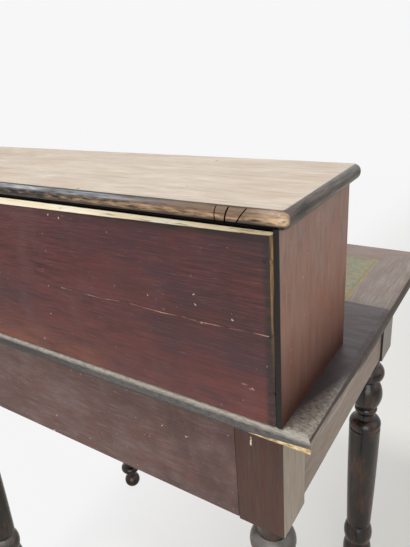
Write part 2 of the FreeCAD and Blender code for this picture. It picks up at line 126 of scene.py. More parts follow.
def feed(node, inputs):
    """Give inputs of a node, by name or number, a value, a socket or another node."""
    for name, value in inputs.items():
        usable = [s for s in node.inputs if s.name == name and not s.is_unavailable]
        socket = node.inputs[name] if isinstance(name, int) else usable[0]
        value = output_of(value)
        if isinstance(value, bpy.types.NodeSocket):
            node.id_data.links.new(value, socket)
        else:
            socket.default_value = value


def add(tree, kind, inputs=None, **settings):
    """Add one node with its settings, and feed its inputs."""
    node = tree.nodes.new(kind)
    for name, value in settings.items():
        setattr(node, name, value)
    feed(node, inputs or {})
    return node


def start_finish(name):
    """A new material, with its tree of nodes and the shader in it."""
    material = bpy.data.materials.new(name)
    material.use_nodes = True
    tree = material.node_tree
    return material, tree, tree.nodes["Principled BSDF"]


print("an input takes a number, a colour, a socket or a node")

# %% [markdown]
# ## The floor
# The desk stands on a sheet of white paper. A plane would show its far edge as a horizon, so the
# paper is a wide disc that turns into the plain white of the backdrop far from the desk. Some of that
# white lies near the desk too, more of it towards +X, where the studio is brighter. Only the camera
# sees it: the paper itself still takes the shadow of the desk.

# %% Floor
floor_radius = 12.0

bpy.ops.object.select_all(action="DESELECT")
bpy.ops.mesh.primitive_circle_add(vertices=96, radius=floor_radius, fill_type="NGON")
floor = bpy.context.object
floor.name = "studio_floor"
print("floor:", floor.name, "with a radius of", floor_radius, "m")

# %% Paper
# Matt paper: soft, even and without any gloss.
paper_white, backdrop_white = "#f4f2e9", "#f7f7f8"
paper_roughness, paper_reflection = 0.9, 0.1
# distances from the desk between which the paper turns into the backdrop
fade_start, fade_end = 1.2, 3.5
# share of the backdrop near the desk, which grows along X from one place to the other
least_share, most_share = 0.2, 0.92
share_start, share_end = -0.3, 0.3

paper, tree, shader = start_finish("matt_white_paper")
feed(shader, {"Base Color": linear(paper_white), "Roughness": paper_roughness,
              "Specular IOR Level": paper_reflection})
place = add(tree, "ShaderNodeTexCoord").outputs["Object"]
distance = add(tree, "ShaderNodeVectorMath", {0: place}, operation="LENGTH").outputs["Value"]
along = add(tree, "ShaderNodeSeparateXYZ", {"Vector": place}).outputs["X"]
share = add(tree, "ShaderNodeMapRange", {"Value": along, "From Min": share_start, "From Max": share_end,
                                         "To Min": least_share, "To Max": most_share})
far = add(tree, "ShaderNodeMapRange", {"Value": distance, "From Min": fade_start, "From Max": fade_end,
                                       "To Min": share}, interpolation_type="SMOOTHSTEP")
rays = add(tree, "ShaderNodeLightPath")
seen = add(tree, "ShaderNodeMath", {0: far, 1: rays.outputs["Is Camera Ray"]}, operation="MULTIPLY")
backdrop = add(tree, "ShaderNodeEmission", {"Color": linear(backdrop_white), "Strength": 1.0})
surface = add(tree, "ShaderNodeMixShader", {0: seen, 1: shader, 2: backdrop})
feed(tree.nodes["Material Output"], {"Surface": surface})
floor.data.materials.append(paper)
print("floor finish:", paper.name)

# %% [markdown]
# ## Sky and lamps
# A picture of a real studio could light the desk, but a plain sky and a few lamps need no picture and
# are easy to move. The even sky fills all shadows, and four lamps shape the desk. The key lamp hangs
# high behind it and throws the shadow of the case forward over the top. A broad window lamp behind
# the camera lights the back, a fill lamp stands at the end, and a front lamp keeps the sitter's side
# readable. The lamps stay weak enough that the palest wood does not burn out to white.

# %% Sky
sky_strength = 0.34

world = bpy.data.worlds.new("studio_sky")
bpy.context.scene.world = world
world.use_nodes = True
tree = world.node_tree
rays = add(tree, "ShaderNodeLightPath")
seen = rays.outputs["Is Camera Ray"]
for kind in ("Is Glossy Ray", "Is Transmission Ray"):
    seen = add(tree, "ShaderNodeMath", {0: seen, 1: rays.outputs[kind]}, operation="MAXIMUM")
strength = add(tree, "ShaderNodeMix", {"Factor": seen, "A": sky_strength, "B": 1.0}, data_type="FLOAT")
feed(tree.nodes["Background"], {"Color": linear(backdrop_white), "Strength": strength})
bpy.context.scene.view_settings.view_transform = "Standard"
print("sky:", world.name, "at a strength of", sky_strength)

# %% Lamps
# name, place in metres, width in metres, power in watts
lamps = [
    ("key_lamp", (0.25, 1.0, 2.7), 0.4, 30.0),
    ("fill_lamp", (-2.4, -0.5, 1.7), 2.0, 9.0),
    ("window_lamp", (-0.9, 2.2, 1.2), 2.0, 38.0),
    ("front_lamp", (0.8, -2.4, 1.3), 2.0, 9.0),
]

desk_middle = (cad_low + cad_high) / 2
for name, spot, width, power in lamps:
    aim = (desk_middle - Vector(spot)).to_track_quat("-Z", "Y").to_euler()
    bpy.ops.object.light_add(type="AREA", location=spot, rotation=aim)
    lamp = bpy.context.object
    lamp.name = name
    lamp.data.size = width
    lamp.data.energy = power
print("lamps:", [name for name, spot, width, power in lamps])

# %% [markdown]
# ## Masks for old wood
# Old wood is a stack of thin coats: stain, dirt, dust, scratches. Each coat is a colour that goes on
# through masks, as a restorer would lay glazes. A painted picture could do the same, but masks made
# of noise and of places need no picture and work on every side of a board. Three kinds do most of the
# work: marks that are drawn out along the grain, a fade along one axis of the desk, and a fade by the
# direction in which the surface faces.

# %% Streaks and marks
noise_detail, noise_roughness = 5.0, 0.62


def streaks(tree, along, size, shift=0.0):
    """Noise drawn out along one axis; size is the width and length of a streak in millimetres."""
    width, length = size
    scale = [1000 / width] * 3
    scale["XYZ".index(along)] = 1000 / length
    place = add(tree, "ShaderNodeTexCoord").outputs["Object"]
    drawn = add(tree, "ShaderNodeMapping", {"Vector": place, "Scale": scale, "Location": [shift] * 3})
    return add(tree, "ShaderNodeTexNoise", {"Vector": drawn, "Scale": 1.0, "Detail": noise_detail,
                                            "Roughness": noise_roughness})


def marks(tree, along, size, shift, level, most=1.0, least=0.0, denser=None):
    """A mask that grows between two levels of the streaks, and closes up where denser is strong.

    The shift moves the noise, so that each mask has streaks of its own.
    """
    noise = streaks(tree, along, size, shift)
    if denser is not None:
        noise = add(tree, "ShaderNodeMath", {0: noise, 1: denser})
    return add(tree, "ShaderNodeMapRange", {"Value": noise, "From Min": level[0], "From Max": level[1],
                                            "To Min": least, "To Max": most})


print("masks along the grain: streaks and marks")

# %% Fades and coats


def place_and_facing(tree):
    """The place of a point on the desk, and the direction in which its surface faces."""
    place = add(tree, "ShaderNodeTexCoord").outputs["Object"]
    return place, add(tree, "ShaderNodeNewGeometry").outputs["Normal"]


def fade(tree, vector, axis, start, end, most=1.0, least=0.0, both_ways=False):
    """A mask that grows while one part of a place or of a direction goes from start to end."""
    part = add(tree, "ShaderNodeSeparateXYZ", {"Vector": vector}).outputs[axis]
    if both_ways:
        part = add(tree, "ShaderNodeMath", {0: part}, operation="ABSOLUTE")
    return add(tree, "ShaderNodeMapRange", {"Value": part, "From Min": start, "From Max": end,
                                            "To Min": least, "To Max": most})


def coat(tree, colour, paint, *masks):
    """Lay a paint over a colour where all the masks are strong; both may be hex colours."""
    strength = masks[0]
    for mask in masks[1:]:
        strength = add(tree, "ShaderNodeMath", {0: strength, 1: mask}, operation="MULTIPLY")
    below, above = [linear(c) if isinstance(c, str) else c for c in (colour, paint)]
    return add(tree, "ShaderNodeMix", {"Factor": strength, "A": below, "B": above}, data_type="RGBA")


print("masks by place and by direction: fades")

# %% [markdown]
# ## Flecks and single spots
# Dust, dried paint and bruises are small and ragged. There are too many to place by hand, so cells of
# a Voronoi pattern give flecks at random places, each as large as its cell's own chance number says.
# A mark whose place is known, such as a nail hole, is a spot instead: the distance to its middle,
# with a wobble on its edge.

# %% Flecks
raggedness = 0.6


def flecks(tree, spacing, size, shift=0.0):
    """Small ragged spots at random places; spacing and size in millimetres."""
    place = add(tree, "ShaderNodeTexCoord").outputs["Object"]
    moved = add(tree, "ShaderNodeMapping", {"Vector": place, "Location": [shift] * 3})
    wobble = add(tree, "ShaderNodeTexNoise", {"Vector": moved, "Scale": 1000 / size, "Detail": 2.0})
    wobble = add(tree, "ShaderNodeVectorMath",
                 {0: wobble.outputs["Color"], "Scale": 2 * raggedness * size / 1000}, operation="SCALE")
    moved = add(tree, "ShaderNodeVectorMath", {0: moved, 1: wobble})
    cells = add(tree, "ShaderNodeTexVoronoi", {"Vector": moved, "Scale": 1000 / spacing, "Randomness": 1.0})
    chance = add(tree, "ShaderNodeSeparateColor", {"Color": cells.outputs["Color"]})
    reach = add(tree, "ShaderNodeMath", {0: chance, 1: size / spacing}, operation="MULTIPLY")
    return add(tree, "ShaderNodeMath", {0: cells.outputs["Distance"], 1: reach}, operation="LESS_THAN")


print("flecks with edges that wander by", raggedness, "of their size")

# %% Spots
# width and reach of the wobble in millimetres, and the share of a spot that is fully covered
wobble_width, wobble_reach = 1.25, 3.0
covered_share = 0.6


def spots(tree, places, reach):
    """Single marks at (x, y, z) places, each as wide as twice its reach, in millimetres."""
    place = add(tree, "ShaderNodeTexCoord").outputs["Object"]
    wobble = add(tree, "ShaderNodeTexNoise", {"Vector": place, "Scale": 1000 / wobble_width, "Detail": 2.0})
    wobble = add(tree, "ShaderNodeVectorMath",
                 {0: wobble.outputs["Color"], 1: (0.5, 0.5, 0.5)}, operation="SUBTRACT")
    wobble = add(tree, "ShaderNodeVectorMath", {0: wobble, "Scale": wobble_reach / 1000}, operation="SCALE")
    place = add(tree, "ShaderNodeVectorMath", {0: place, 1: wobble})
    scale = [1000 / r for r in reach]
    nearest = None
    for middle in places:
        shift = [-m / r for m, r in zip(middle, reach)]
        moved = add(tree, "ShaderNodeMapping", {"Vector": place, "Scale": scale, "Location": shift})
        away = add(tree, "ShaderNodeVectorMath", {0: moved}, operation="LENGTH").outputs["Value"]
        if nearest is not None:
            away = add(tree, "ShaderNodeMath", {0: away, 1: nearest}, operation="MINIMUM")
        nearest = away
    return add(tree, "ShaderNodeMapRange", {"Value": nearest, "From Min": 1.0, "From Max": covered_share})


print("spots with edges that wander by up to", wobble_reach / 2, "mm")

# %% [markdown]
# ## A board of wood
# Every board shows the same things below its coats: fibres drawn out along the grain, a broader
# figure of lighter and darker bands, and short dark pores. A photograph of a board would show them in
# one direction only, while noise can be drawn out along any axis. The real fibres and pores are a
# fifth of a millimetre wide, finer than a pixel here, so they are drawn one to one and a half
# millimetres wide. The figure also sets the gloss, because dense bands take a better polish.

# %% Wood
# refractive index of shellac, which is close to that of the wood itself
shellac_ior = 1.52
# width and length in millimetres; a band of the figure is eight times as long as it is wide
fibre_size, pore_size = (1.4, 26), (1.0, 12)
figure_stretch, figure_share = 8, 0.35
figure_shift, pore_shift = 3.1, 7.0
# levels of the noise at which the middle and the light tone begin, the pores show and the gloss turns
tone_levels = [(0.38, 0.5), (0.51, 0.63)]
pore_level, gloss_level = (0.58, 0.68), (0.3, 0.7)
ridge_strength, ridge_height = 0.3, 0.0006


def wood(name, grain, tones, roughness=(0.42, 0.66), figure_width=13.0, pore_depth=0.6, reflection=0.5):
    """A board with its grain along one axis; gives its material and its colour so far.

    The tones are its dark, middle and light colour. A reflection of 0.5 is the full shine of
    shellac, and less is what dust and wear have left of it.
    """
    material, tree, shader = start_finish(name)
    fibres = streaks(tree, grain, fibre_size)
    figure = streaks(tree, grain, (figure_width, figure_stretch * figure_width), figure_shift)
    tone = add(tree, "ShaderNodeMix", {"Factor": figure_share, "A": fibres, "B": figure}, data_type="FLOAT")
    colour = linear(tones[0])
    for paint, (start, end) in zip(tones[1:], tone_levels):
        band = add(tree, "ShaderNodeMapRange", {"Value": tone, "From Min": start, "From Max": end})
        colour = coat(tree, colour, paint, band)
    pores = marks(tree, grain, pore_size, pore_shift, pore_level, most=pore_depth)
    colour = coat(tree, colour, tones[0], pores)
    start, end = gloss_level
    rough = add(tree, "ShaderNodeMapRange", {"Value": figure, "From Min": start, "From Max": end,
                                             "To Min": roughness[0], "To Max": roughness[1]})
    ridges = add(tree, "ShaderNodeBump",
                 {"Height": fibres, "Strength": ridge_strength, "Distance": ridge_height})
    feed(shader, {"IOR": shellac_ior, "Specular IOR Level": reflection, "Roughness": rough,
                  "Normal": ridges})
    return material, colour


print("fibres", fibre_size[0], "mm and pores", pore_size[0], "mm wide")

# %% Polish and last coat


def polish(material, mask, roughness):
    """Make the surface as smooth or as rough as given, under a mask."""
    tree = material.node_tree
    shader = tree.nodes["Principled BSDF"]
    before = shader.inputs["Roughness"].links[0].from_socket
    mixed = add(tree, "ShaderNodeMix", {"Factor": mask, "A": before, "B": roughness}, data_type="FLOAT")
    feed(shader, {"Roughness": mixed})


def last_coat(material, colour):
    """Put the finished colour on the shader."""
    tree = material.node_tree
    feed(tree.nodes["Principled BSDF"], {"Base Color": colour})
    print("finish:", material.name, "with", len(tree.nodes), "nodes")
    return material


print("every finish ends with its last coat")

# %% [markdown]
# ## The back of the case
# The back panel is pine that was stained to look like mahogany. The stain has turned patchy: redder
# at the foot, hazy in the middle, nearly black along its border, with pale flecks where it was
# knocked. One noise over the whole panel would look like cloth, so each kind of patch is a coat of
# its own, of large soft marks, and fades keep it in its own part of the panel.

# %% Panel: stain and its patches
# Stain below worn shellac: a deep red that has gone hazy, with a soft gloss.
back_low, back_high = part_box("case_back")
foot = back_low.z
stained, colour = wood("mahogany_stained_pine", "X", ("#291415", "#462223", "#582d2f"), (0.4, 0.58),
                       pore_depth=0.25, reflection=0.35)
tree = stained.node_tree
place = add(tree, "ShaderNodeTexCoord").outputs["Object"]
# red that has stayed, more of it towards the foot
red = marks(tree, "X", (18, 90), 11.0, (0.4, 0.62))
to_foot = fade(tree, place, "Z", back_high.z, foot, most=0.7, least=0.3)
colour = coat(tree, colour, "#552a27", red, to_foot)
# a warm glow along the foot near the ends, and a browner one in the middle
glow = marks(tree, "X", (3.0, 60), 21.0, (0.36, 0.6), most=0.9, least=0.25)
low_down = fade(tree, place, "Z", foot + 0.0615, foot + 0.0115)
to_ends = fade(tree, place, "X", 0.1, 0.24, both_ways=True)
colour = coat(tree, colour, "#70362c", glow, low_down, to_ends)
ember = marks(tree, "X", (8.0, 55), 41.0, (0.38, 0.6), most=0.8, least=0.15)
lower_still = fade(tree, place, "Z", foot + 0.0345, foot + 0.0045)
to_middle = fade(tree, place, "X", 0.18, 0.08, both_ways=True)
colour = coat(tree, colour, "#6f4030", ember, lower_still, to_middle)
# dark clouds along the grain, and a pale haze across it
colour = coat(tree, colour, "#2e1c21", marks(tree, "X", (50, 110), 5.0, (0.46, 0.62), most=0.45))
colour = coat(tree, colour, "#5e494a", marks(tree, "Z", (35, 60), 15.0, (0.5, 0.75), most=0.3))
# a violet cast and a dull film towards the ends
violet = marks(tree, "X", (26, 55), 61.0, (0.44, 0.6), most=0.6)
colour = coat(tree, colour, "#36232d", violet, fade(tree, place, "X", 0.09, 0.17, both_ways=True))
dull_ends = fade(tree, place, "X", 0.1, 0.25, most=0.45, both_ways=True)
not_foot = fade(tree, place, "Z", foot + 0.0215, foot + 0.0665)
colour = coat(tree, colour, "#1e1315", dull_ends, not_foot)
print("stain:", len(tree.nodes), "nodes so far")

# %% Panel: grain lines and border
grain_lines = marks(tree, "X", (0.9, 45), 51.0, (0.5, 0.62), most=0.34)
more_at_ends = fade(tree, place, "X", 0.08, 0.2, least=0.4, both_ways=True)
colour = coat(tree, colour, "#6e3330", grain_lines, more_at_ends)
colour = coat(tree, colour, "#7d6463", marks(tree, "X", (0.9, 16), 31.0, (0.6, 0.72), most=0.4))
# a black border at the ends, and along the top near one corner
ragged = marks(tree, "X", (2.5, 10), 2.0, (0.3, 0.6), least=0.3)
at_ends = fade(tree, place, "X", back_high.x - 0.0085, back_high.x - 0.005, both_ways=True)
at_top = fade(tree, place, "Z", back_high.z - 0.008, back_high.z - 0.005)
to_corner = fade(tree, place, "X", -0.04, -0.14)
colour = coat(tree, colour, "#1d1615", at_ends, ragged)
colour = coat(tree, colour, "#1d1615", at_top, to_corner, ragged)
print("grain lines and border:", len(tree.nodes), "nodes so far")

# %% Panel: knocks, nail holes and scrapes
# places along the panel and above the floor, in millimetres
knocks = [(-63, 717), (-75, 715), (-46, 652), (-41, 624), (-25, 595), (-156, 665), (-197, 674),
          (-198, 666), (-227, 661), (-240, 610), (-202, 653), (112, 690), (60, 640), (171, 612)]
nail_holes = [(-251.6, 707), (-255, 655), (-253.4, 610)]
scrapes = [(-234, 612), (-240, 609.5)]
# colour, places, and reach of each mark in millimetres along, into and up the panel
panel_marks = [("#9c8d85", knocks, (1.0, 9, 0.9)), ("#0c0809", nail_holes, (1.5, 9, 1.5)),
               ("#86604e", scrapes, (3.0, 9, 0.7))]
panel_face = 182

colour = coat(tree, colour, "#645250", flecks(tree, 9, 0.9, 6.0))
for paint, places, reach in panel_marks:
    on_panel = [(x, panel_face, z) for x, z in places]
    colour = coat(tree, colour, paint, spots(tree, on_panel, reach))
# bare wood along the upright arrises
straw = coat(tree, "#3a2a1c", "#8c6a40", marks(tree, "Z", (1.5, 40), 3.0, (0.42, 0.62)))
at_arris = fade(tree, place, "X", back_high.x - 0.0028, back_high.x - 0.0022, both_ways=True)
high_up = fade(tree, place, "Z", foot + 0.0415, foot + 0.1065)
colour = coat(tree, colour, straw, at_arris, high_up)
last_coat(stained, colour)

# %% [markdown]
# ## Bare wood
# Where the stain has rubbed off, the pine below is pale and straw-coloured. It shows along the top
# of the back panel and in the crack, and it is dirty where the stain begins again. It could be one
# more coat on the panel, but both places are faces of their own in the model, so they get finishes of
# their own, and the border stays sharp.

# %% Bare and split pine
# Bare planed pine, made paler than bare pine is, as painted light: nearly white, dry and warm, golden at
# the end where hands have soiled it.
bare, colour = wood("bare_planed_pine", "X", ("#fde6ba", "#fff2d4", "#fffaec"), (0.45, 0.65),
                    figure_width=4.0, pore_depth=0.2)
tree = bare.node_tree
place = add(tree, "ShaderNodeTexCoord").outputs["Object"]
colour = coat(tree, colour, "#e8c890", fade(tree, place, "X", -0.17, -0.25, most=0.6))
soiled = fade(tree, place, "X", -0.08, -0.25, most=0.1)
dirt = marks(tree, "X", (1.8, 22), 12.0, (0.62, 0.72), most=0.6, denser=soiled)
last_coat(bare, coat(tree, colour, "#6b4c33", dirt))

# Split pine: torn fibres, pale where the crack is open and dark where it is closed.
split, colour = wood("split_pine", "X", ("#6a4238", "#a07a66", "#cfae94"), (0.5, 0.7), figure_width=3.0)
tree = split.node_tree
closed = marks(tree, "X", (6.0, 14), 2.0, (0.5, 0.64), most=0.85)
last_coat(split, coat(tree, colour, "#271616", closed))

# %% [markdown]
# ## The top board of the case
# Sun has bleached the upper face to a dry tan. Its rounded edge was painted black. A grey sheen is
# painted on the upper half of that edge as a reflection, and the paint has rubbed off the rear edge,
# where hands take hold. Two finishes could be given to two sets of faces, but worn paint has no clear
# border. So one finish does both: the direction in which the surface faces tells the flat top from the
# rounded edge.

# %% Board: bleached top
# Bleached pine is pale, dry and nearly matt; the paint on its edge is black with a hard shine.
board_low, board_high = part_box("case_top_board")
faded, colour = wood("sun_bleached_pine", "X", ("#b8a797", "#cdbfaf", "#d8ccbe"), (0.6, 0.75),
                     figure_width=16.0, pore_depth=0.35, reflection=0.3)
tree = faded.node_tree
place, facing = place_and_facing(tree)
colour = coat(tree, colour, "#c2a98f", marks(tree, "X", (28, 60), 8.0, (0.45, 0.65), most=0.45))
colour = coat(tree, colour, "#e3d8ca", marks(tree, "X", (20, 50), 18.0, (0.5, 0.66), most=0.4))
colour = coat(tree, colour, "#a0948a", marks(tree, "X", (5.0, 130), 28.0, (0.55, 0.7), most=0.5))
colour = coat(tree, colour, "#8d7d70", flecks(tree, 24, 1.6, 3.0))
print("bleached top:", len(tree.nodes), "nodes so far")

# %% Board: black edge
paint_roughness = 0.3

edge = fade(tree, facing, "Z", 0.99, 0.96)
paint = coat(tree, "#120f0e", "#453d38", marks(tree, "X", (1.5, 12), 1.0, (0.42, 0.68)))
# a painted sheen on the upper half of the edge, a grey reflection, browner near the corner
painted_sheen = coat(tree, "#707277", "#b3b7bb", marks(tree, "X", (2.5, 45), 25.0, (0.42, 0.64)))
painted_sheen = coat(tree, painted_sheen, "#5f534b", fade(tree, place, "X", -0.12, -0.24))
upper = fade(tree, facing, "Z", 0.3, 0.55)
below_arris = fade(tree, facing, "Z", 0.93, 0.84)
patchy = marks(tree, "X", (1.5, 12), 1.0, (0.3, 0.62), most=0.85, least=0.3)
# black paint under the painted sheen
paint = coat(tree, paint, painted_sheen, upper, below_arris, patchy)
# thinner paint on the ends
end_paint = coat(tree, "#2c2521", "#5d5149", marks(tree, "Y", (2.0, 22), 0.0, (0.38, 0.62)))
paint = coat(tree, paint, end_paint, fade(tree, facing, "X", 0.25, 0.5, both_ways=True))
colour = coat(tree, colour, paint, edge)
polish(faded, edge, paint_roughness)
print("black edge:", len(tree.nodes), "nodes so far")

# %% Board: rubbed rear edge
# bare golden wood in the middle of the rear edge, more of it towards the corner
handled = fade(tree, place, "X", -0.02, -0.2, most=0.62, least=0.37)
rubbed = marks(tree, "X", (1.3, 9), 4.0, (0.92, 1.12), denser=handled)
golden = coat(tree, "#5c4737", "#a3866b", marks(tree, "X", (1.5, 12), 1.0, (0.38, 0.64)))
golden = coat(tree, golden, "#c9ab8a", fade(tree, place, "X", -0.25, -0.266, most=0.9))
rearwards = fade(tree, facing, "Y", 0.3, 0.6)
not_above = fade(tree, facing, "Z", 0.5, 0.2)
not_below = fade(tree, facing, "Z", -0.5, -0.2)
colour = coat(tree, colour, golden, rubbed, rearwards, not_above, not_below)
# brown above it, close to the corner
browned = marks(tree, "X", (1.5, 12), 1.0, (0.34, 0.6), most=0.95, least=0.35)
to_corner = fade(tree, place, "X", -0.13, -0.21)
arris_to_middle = fade(tree, facing, "Z", 0.97, 0.9)
brown = coat(tree, "#705844", "#b5977a", fade(tree, place, "X", -0.243, -0.262, most=0.9))
colour = coat(tree, colour, brown, browned, to_corner, arris_to_middle,
              fade(tree, facing, "Y", 0.2, 0.4), fade(tree, facing, "Z", 0.15, 0.4))
# a dark underside: black paint, darkened further as painted shade
paint_and_shade_below = coat(tree, "#2b1d14", "#090606", fade(tree, facing, "Z", -0.5, -0.75))
not_ends = fade(tree, facing, "X", 0.6, 0.3, both_ways=True)
colour = coat(tree, colour, paint_and_shade_below, fade(tree, facing, "Z", -0.2, -0.45, most=0.9), not_ends)
last_coat(faded, colour)

# %% [markdown]
# ## The gap below the top board
# The underside of the rear edge and the gap above the back panel were never polished, and lie in deep
# shade. That shade is painted as a finish of its own, black and without any shine. A dark coat on the
# finishes around them would still shine, because one material has one strength of reflection.

# %% Painted shade black
# Painted shade: a dry black that swallows light, for the gap, the cuts and the underside of the rear edge.
painted_shade_black, colour = wood("painted_shade_black_pine", "X", ("#050404", "#080606", "#0c0908"), (0.9, 1.0), figure_width=6.0,
                     pore_depth=0.2, reflection=0.05)
last_coat(painted_shade_black, colour)

# %% [markdown]
# ## The sides of the case
# The sides have upright grain. Their stain has faded to a patchy mauve brown and is still warm low
# down at the front, and their narrow rear edges are black. At the foot they turn dark, from dirt and
# from painted shade where they stand on the desk top. Each side could have a finish of its own, but
# coats that fade by height and by depth suit both, because a mask reads where a point lies on the
# desk.

# %% Case sides
# Faded stain: a chalky mauve brown with little gloss.
side_low, side_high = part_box("case_side_left")
foot = side_low.z
mauve, colour = wood("faded_stained_pine", "Z", ("#836559", "#917166", "#9d8175"), (0.4, 0.6),
                     figure_width=10.0, pore_depth=0.15, reflection=0.3)
tree = mauve.node_tree
place, facing = place_and_facing(tree)
# warm stain low down and at the front
low_down = fade(tree, place, "Z", side_high.z - 0.01, foot + 0.04)
to_front = fade(tree, place, "Y", side_high.y, side_low.y, least=0.7)
warm = marks(tree, "Z", (7.0, 45), 6.0, (0.35, 0.6), least=0.55)
colour = coat(tree, colour, "#7d3d1b", low_down, to_front, warm)
# cool and brown patches, and pale flecks
cool = marks(tree, "Z", (13.0, 32), 16.0, (0.46, 0.64), most=0.5)
colour = coat(tree, colour, "#877672", cool, fade(tree, place, "Z", foot + 0.03, foot + 0.11))
colour = coat(tree, colour, "#7a5544", marks(tree, "Z", (9.0, 26), 36.0, (0.5, 0.66), most=0.55))
colour = coat(tree, colour, "#a3928b", flecks(tree, 11, 0.9, 5.0))
# a dark foot, of dirt and painted shade, and black rear edges
colour = coat(tree, colour, "#33150b", fade(tree, place, "Z", foot + 0.075, foot + 0.005, most=0.92))
colour = coat(tree, colour, "#060505", fade(tree, facing, "Y", 0.4, 0.8))
last_coat(mauve, colour)

# %% [markdown]
# ## The edges of the desk top
# The rounded edge of the desk top is grey-black at the back, dusty above and darker below, where the
# darkening is painted shade, with a strip of bare wood where its lower arris has split away near the
# corner. At the ends it is rubbed brown below a dark arris. The edge could be a strip of its own, but
# on the real desk it belongs to four boards with different grain, so three functions bring its
# colours to each of them.

# %% Edge colours
top_low, top_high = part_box("top_rear_board")


def rear_edge(tree, place, facing):
    """The colour of the rounded edge where it faces the back or the front."""
    worn = marks(tree, "X", (1.3, 5), 1.0, (0.36, 0.66))
    paleness = marks(tree, "X", (1.3, 5), 1.0, (0.36, 0.64))
    colour = coat(tree, "#332f2f", "#575252", worn)
    dust = coat(tree, "#77726a", "#9c9589", paleness)
    colour = coat(tree, colour, dust, fade(tree, facing, "Z", 0.15, 0.55))
    stripe = fade(tree, facing, "Z", 0.3, 0.1)
    # painted shade: darker on the lower half, more so towards +X
    colour = coat(tree, colour, "#1b1818", stripe, fade(tree, place, "X", -0.1, 0.0, most=0.8))
    colour = coat(tree, colour, "#221d1c", fade(tree, facing, "Z", 0.0, -0.3))
    return coat(tree, colour, "#8a7f78", fade(tree, facing, "Z", -0.7, -0.85, most=0.7))


def end_edge(tree, place, facing):
    """The colour of the edge at the ends: rubbed brown, below a dark arris that widens to the front."""
    colour = coat(tree, "#6f625a", "#9a8c81", marks(tree, "Y", (2.0, 45), 0.0, (0.4, 0.62)))
    dark_from = fade(tree, place, "Y", 0.03, 0.14, most=0.4, least=-0.4)
    upward = add(tree, "ShaderNodeSeparateXYZ", {"Vector": facing}).outputs["Z"]
    above = add(tree, "ShaderNodeMath", {0: upward, 1: dark_from}, operation="SUBTRACT")
    arris = add(tree, "ShaderNodeMapRange", {"Value": above, "From Min": 0.0, "From Max": 0.15})
    return coat(tree, colour, "#33251f", arris)


print("edge of the desk top from", round(1000 * top_low.z, 1), "to", round(1000 * top_high.z, 1), "mm")

# %% Split arris
# height of the bare strip where it begins and at the corner
strip_begins, strip_ends = 0.0025, 0.0072


def split_arris(tree, colour, place, facing):
    """Bare splinters along the foot of the rear edge, close to one corner."""
    to_corner = fade(tree, place, "X", -0.215, -0.275, most=0.5)
    torn = marks(tree, "X", (2.0, 16), 9.0, (0.7, 0.76), denser=to_corner)
    strip_top = fade(tree, place, "X", -0.225, -0.28, most=top_low.z + strip_ends,
                     least=top_low.z + strip_begins)
    height = add(tree, "ShaderNodeSeparateXYZ", {"Vector": place}).outputs["Z"]
    in_strip = add(tree, "ShaderNodeMath", {0: height, 1: strip_top}, operation="LESS_THAN")
    splinters = coat(tree, "#9a7846", "#dcc79b", marks(tree, "X", (1.3, 5), 1.0, (0.4, 0.6)))
    return coat(tree, colour, splinters, torn, in_strip, fade(tree, facing, "Y", 0.2, 0.5))


print("bare strip up to", round(1000 * strip_ends, 1), "mm high")

# %% [markdown]
# ## The boards of the desk top
# The rear board is dark: partly its own stain, and partly painted shade of the case, which darkens it
# further towards the back. A wedge at its open corner is pale with gritty dust and with painted light,
# where the shadow of the case ends. The frame round the writing leather is rubbed to a grey brown.
# Three separate finishes would repeat the same coats, because the boards differ only in colour, grain
# and dust, so one function mixes them all.

# %% Desk top: coats of a board
# dust and painted light begin where the distance from the middle along X, plus this share of Y, reaches the
# start
wedge_slope = 0.3
wedge_start, wedge_end = 0.3085, 0.3165


def desk_top_finish(name, grain, tones, stain, paleness):
    """A board of the desk top; the last argument is how pale its open rear corner is, with dust and painted
    light.
    """
    material, colour = wood(name, grain, tones, (0.4, 0.64), figure_width=9.0)
    tree = material.node_tree
    place, facing = place_and_facing(tree)
    colour = coat(tree, colour, stain, marks(tree, grain, (14, 30), 14.0, (0.44, 0.62), most=0.6))
    # darker towards the back: painted shade of the case
    colour = coat(tree, colour, "#2a2022", fade(tree, place, "Y", 0.02, 0.1, most=0.85))
    # pale dust and painted light in a wedge at the corner, beyond the shadow of the case
    axes = add(tree, "ShaderNodeSeparateXYZ", {"Vector": place}).outputs
    from_middle = add(tree, "ShaderNodeMath", {0: axes["X"]}, operation="ABSOLUTE")
    slant = add(tree, "ShaderNodeMath", {0: axes["Y"], 1: wedge_slope, 2: from_middle},
                operation="MULTIPLY_ADD")
    wedge = add(tree, "ShaderNodeMapRange",
                {"Value": slant, "From Min": wedge_start, "From Max": wedge_end})
    grit_and_light = marks(tree, "X", (1.5, 4.0), 6.0, (0.36, 0.6), most=paleness, least=0.2 * paleness)
    colour = coat(tree, colour, "#928a7e", wedge, grit_and_light)
    colour = coat(tree, colour, "#8d827c", flecks(tree, 14, 0.9, 2.0))
    # edges, which face more along X at the ends and more along Y at the back
    turned = add(tree, "ShaderNodeVectorMath", {0: facing}, operation="ABSOLUTE")
    turned = add(tree, "ShaderNodeSeparateXYZ", {"Vector": turned}).outputs
    at_ends = add(tree, "ShaderNodeMath", {0: turned["X"], 1: turned["Y"]}, operation="GREATER_THAN")
    at_back = add(tree, "ShaderNodeMath", {0: 1.0, 1: at_ends}, operation="SUBTRACT")
    ends, back = end_edge(tree, place, facing), rear_edge(tree, place, facing)
    colour = coat(tree, colour, ends, fade(tree, facing, "Z", 0.75, 0.68), at_ends)
    colour = coat(tree, colour, back, fade(tree, facing, "Z", 0.97, 0.88), at_back)
    return last_coat(material, split_arris(tree, colour, place, facing))


print("wedge of dust and painted light with a soft border of", round(1000 * (wedge_end - wedge_start)), "mm")

